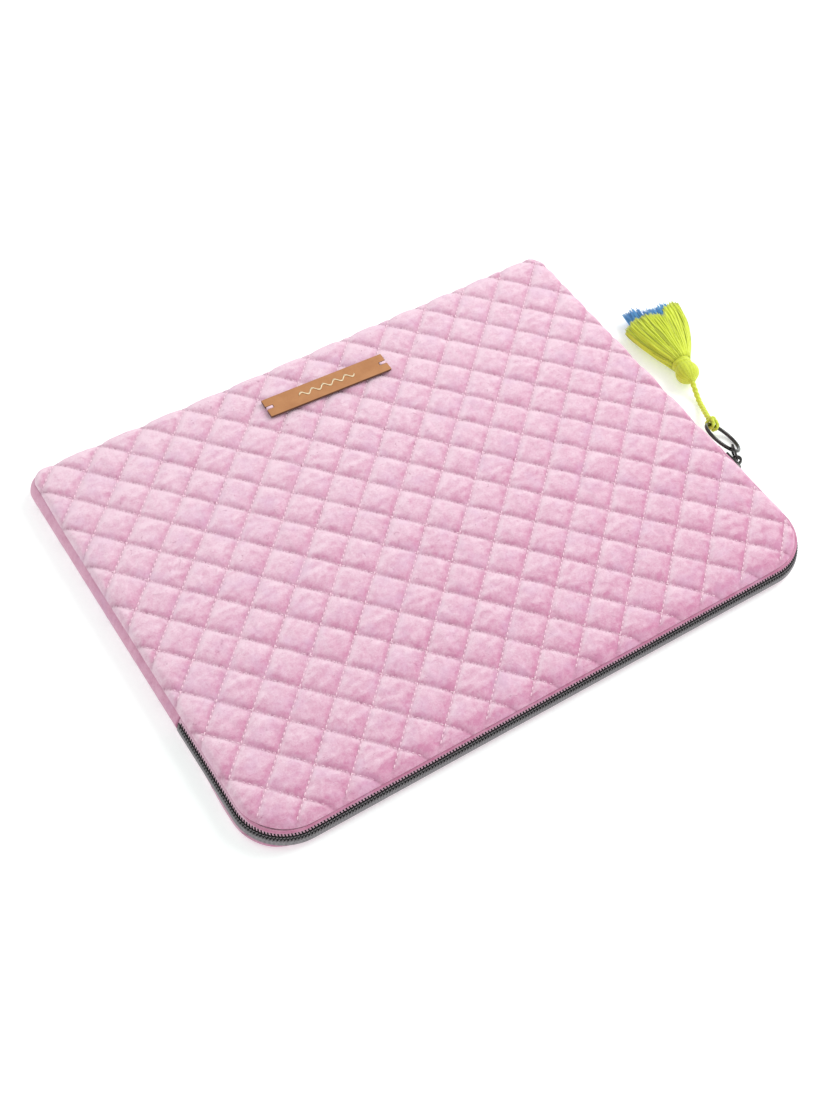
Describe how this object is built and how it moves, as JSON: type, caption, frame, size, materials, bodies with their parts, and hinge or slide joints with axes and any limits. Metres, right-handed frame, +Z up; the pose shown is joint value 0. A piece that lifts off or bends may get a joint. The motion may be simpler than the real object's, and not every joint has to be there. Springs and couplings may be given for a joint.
{
  "type": "laptop sleeve",
  "caption": "Flat padded sleeve for a laptop in diamond-quilted pink velvet, with a zip round three sides, a ring pull with a two-colour tassel and a leather label.",
  "frame": {"origin": "middle of the sleeve's underside, on the surface that it lies on", "axes": "+X along the zip edge, +Y from the zip edge to the closed edge, +Z up through the top panel"},
  "size_m": [0.3908, 0.2638, 0.0206],
  "materials": {
    "velvet": "short cotton velvet pile",
    "wadding": "polyester wadding",
    "lining": "plain-weave cotton lining",
    "zip_tape": "woven polyester tape",
    "zip_teeth": "gunmetal coil",
    "gunmetal": "polished gunmetal plate",
    "leather": "smooth vegetable-tanned leather",
    "foil": "hot-stamped pale foil",
    "label_thread": "cotton thread",
    "lime_yarn": "mercerised cotton yarn",
    "blue_yarn": "mercerised cotton yarn"
  },
  "bodies": {
    "root": {"bottom_velvet": "velvet", "bottom_wadding": "wadding", "bottom_lining": "lining", "rear_top_velvet": "velvet", "rear_top_wadding": "wadding", "rear_top_lining": "lining", "gusset_velvet": "velvet", "gusset_lining": "lining", "lower_tape": "zip_tape", "lower_coil": "zip_teeth", "upper_tape_left_end": "zip_tape", "upper_tape_right_end": "zip_tape", "upper_coil_left_end": "zip_teeth", "upper_coil_right_end": "zip_teeth", "upper_lip_left_end": "velvet", "upper_lip_right_end": "velvet", "zip_stop_left": "gunmetal", "zip_stop_right": "gunmetal", "leather_label": "leather", "label_motif": "foil", "label_stitch_left": "label_thread", "label_stitch_right": "label_thread"},
    "flap": {"flap_velvet": "velvet", "flap_wadding": "wadding", "flap_lining": "lining", "upper_tape_front": "zip_tape", "upper_coil_front": "zip_teeth", "upper_lip_front": "velvet"},
    "slider": {"slider_body": "gunmetal", "slider_inner_plate": "gunmetal", "slider_bail": "gunmetal"},
    "puller": {"pull_link": "gunmetal"},
    "ring": {"pull_ring": "gunmetal"},
    "tassel": {"tassel_knot": "lime_yarn", "tassel_cord": "lime_yarn", "tassel_head": "lime_yarn", "tassel_binding": "lime_yarn", "tassel_skirt": "lime_yarn", "tassel_inner_skirt": "blue_yarn"}
  },
  "joints": [
    {"name": "flap_fold", "type": "hinge", "parent": "root", "child": "flap", "pos_m": [0, -0.064, 0.0185], "axis": [-1, 0, 0], "range_deg": [0, 75]},
    {"name": "slider_travel", "type": "slide", "parent": "root", "child": "slider", "axis": [0, -1, 0], "range_m": [0, 0.039]},
    {"name": "puller_swing", "type": "hinge", "parent": "slider", "child": "puller", "pos_m": [0.17328, -0.058, 0.00884], "axis": [0.2065, 0.0493, -0.9772], "range_deg": [0, 110]},
    {"name": "ring_swing", "type": "hinge", "parent": "puller", "child": "ring", "pos_m": [0.17558, -0.05166, 0.00964], "axis": [0.7716, -0.2029, -0.6029], "range_deg": [0, 70]},
    {"name": "tassel_swing", "type": "hinge", "parent": "ring", "child": "tassel", "pos_m": [0.17927, -0.02935, 0.00676], "axis": [0.7708, -0.2079, -0.6022], "range_deg": [0, 45]}
  ]
}
